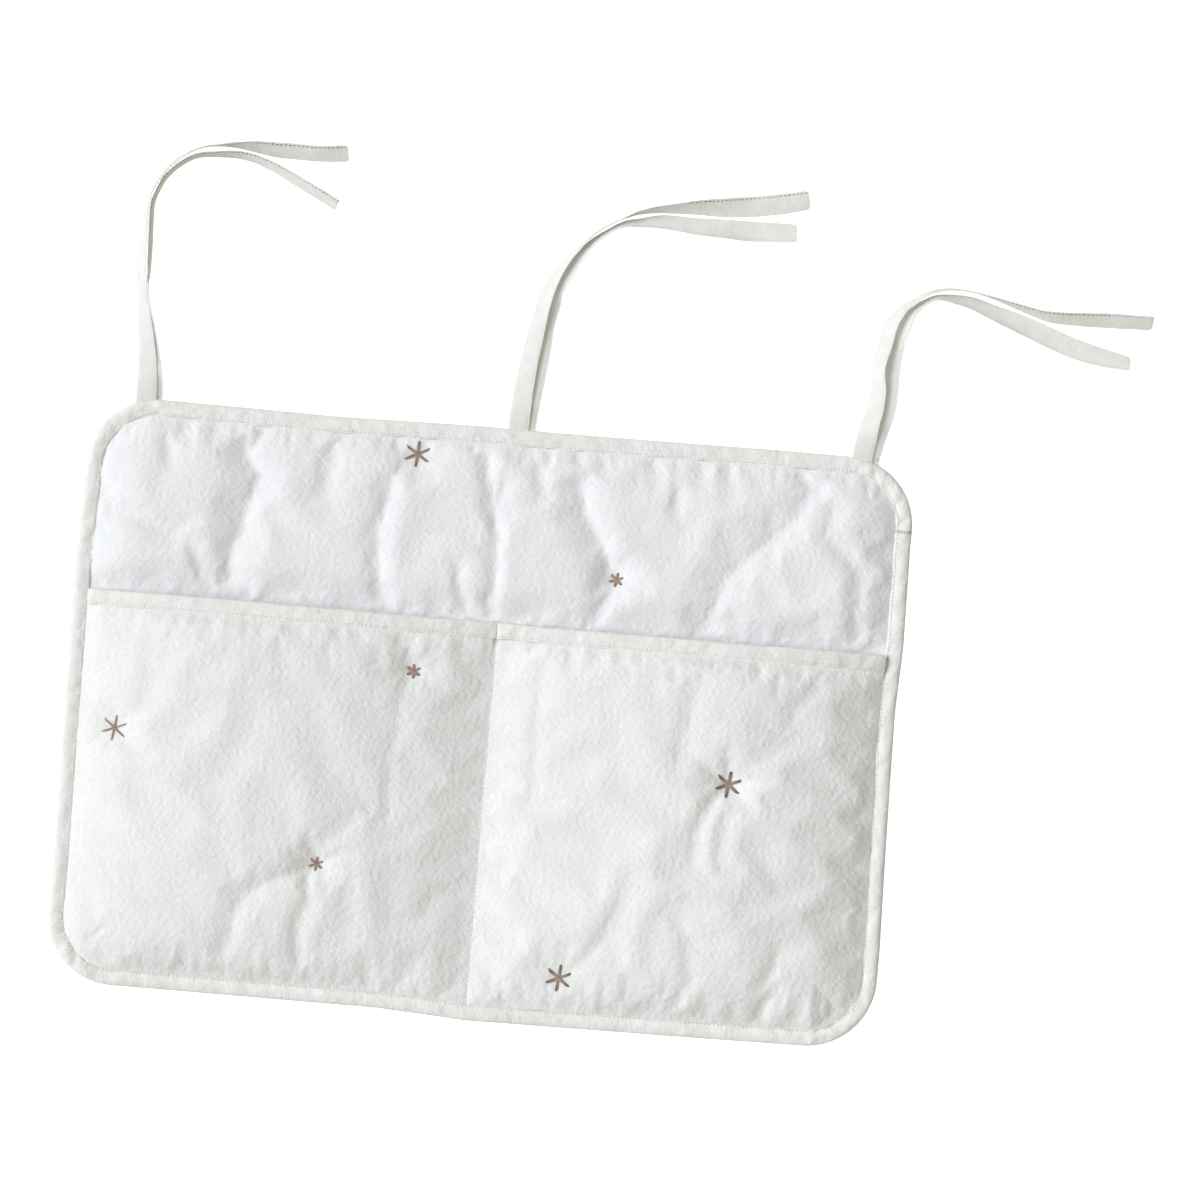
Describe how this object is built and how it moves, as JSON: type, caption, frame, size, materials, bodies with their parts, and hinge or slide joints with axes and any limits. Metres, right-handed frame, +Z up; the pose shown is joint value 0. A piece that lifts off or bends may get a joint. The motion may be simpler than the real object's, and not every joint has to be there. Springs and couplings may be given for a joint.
{
  "type": "bedside caddy",
  "caption": "Padded cotton panel with bound edges, pockets across its lower part and pairs of tie tapes along its top edge, to hang on a bed or cot rail.",
  "frame": {"origin": "on the ground under the middle of the padded panel, which lies on its back", "axes": "+X across the panel to the right of someone who looks at its pockets, +Y from the pockets' bottom edge towards the ties, +Z up out of the pocket fronts"},
  "size_m": [0.7601, 0.619, 0.0218],
  "materials": {
    "face_cotton": "washed white cotton, finely crinkled",
    "pocket_cotton": "washed white cotton, finely crinkled",
    "binding_cotton": "cream cotton bias tape, pressed",
    "lining_cotton": "plain white cotton",
    "wadding": "loose white fleece",
    "star_thread": "soft taupe embroidery thread"
  },
  "bodies": {
    "panel": {"back_lining": "lining_cotton", "back_wadding": "wadding", "back_face": "face_cotton", "star_back_left": "star_thread", "star_back_right": "star_thread", "edge_binding": "binding_cotton", "divider_seam": "pocket_cotton"},
    "left_pocket": {"left_pocket_lining": "lining_cotton", "left_pocket_wadding": "wadding", "left_pocket_face": "pocket_cotton", "left_mouth_binding": "binding_cotton", "star_left_upper": "star_thread", "star_left_side": "star_thread", "star_left_lower": "star_thread"},
    "right_pocket": {"right_pocket_lining": "lining_cotton", "right_pocket_wadding": "wadding", "right_pocket_face": "pocket_cotton", "right_mouth_binding": "binding_cotton", "star_right_upper": "star_thread", "star_right_lower": "star_thread"},
    "left_front_tie": {"left_tie_front": "binding_cotton"},
    "left_rear_tie": {"left_tie_rear": "binding_cotton"},
    "centre_front_tie": {"centre_tie_front": "binding_cotton"},
    "centre_rear_tie": {"centre_tie_rear": "binding_cotton"},
    "right_front_tie": {"right_tie_front": "binding_cotton"},
    "right_rear_tie": {"right_tie_rear": "binding_cotton"}
  },
  "joints": [
    {"name": "left_pocket_open", "type": "hinge", "parent": "panel", "child": "left_pocket", "pos_m": [-0.14175, -0.2002, 0.0037], "axis": [1, 0, 0], "range_deg": [0, 8]},
    {"name": "right_pocket_open", "type": "hinge", "parent": "panel", "child": "right_pocket", "pos_m": [0.14775, -0.2002, 0.0037], "axis": [1, 0, 0], "range_deg": [0, 8]},
    {"name": "left_front_tie_swing", "type": "hinge", "parent": "panel", "child": "left_front_tie", "pos_m": [-0.258, 0.2135, 0.0034], "axis": [1, 0, 0], "range_deg": [0, 120]},
    {"name": "left_rear_tie_swing", "type": "hinge", "parent": "panel", "child": "left_rear_tie", "pos_m": [-0.258, 0.2135, 0.0015], "axis": [1, 0, 0], "range_deg": [-90, 0]},
    {"name": "centre_front_tie_swing", "type": "hinge", "parent": "panel", "child": "centre_front_tie", "pos_m": [0.0111, 0.2135, 0.0034], "axis": [1, 0, 0], "range_deg": [0, 120]},
    {"name": "centre_rear_tie_swing", "type": "hinge", "parent": "panel", "child": "centre_rear_tie", "pos_m": [0.0111, 0.2135, 0.0015], "axis": [1, 0, 0], "range_deg": [-90, 0]},
    {"name": "right_front_tie_swing", "type": "hinge", "parent": "panel", "child": "right_front_tie", "pos_m": [0.2619, 0.2135, 0.0034], "axis": [1, 0, 0], "range_deg": [0, 120]},
    {"name": "right_rear_tie_swing", "type": "hinge", "parent": "panel", "child": "right_rear_tie", "pos_m": [0.2619, 0.2135, 0.0015], "axis": [1, 0, 0], "range_deg": [-90, 0]}
  ]
}
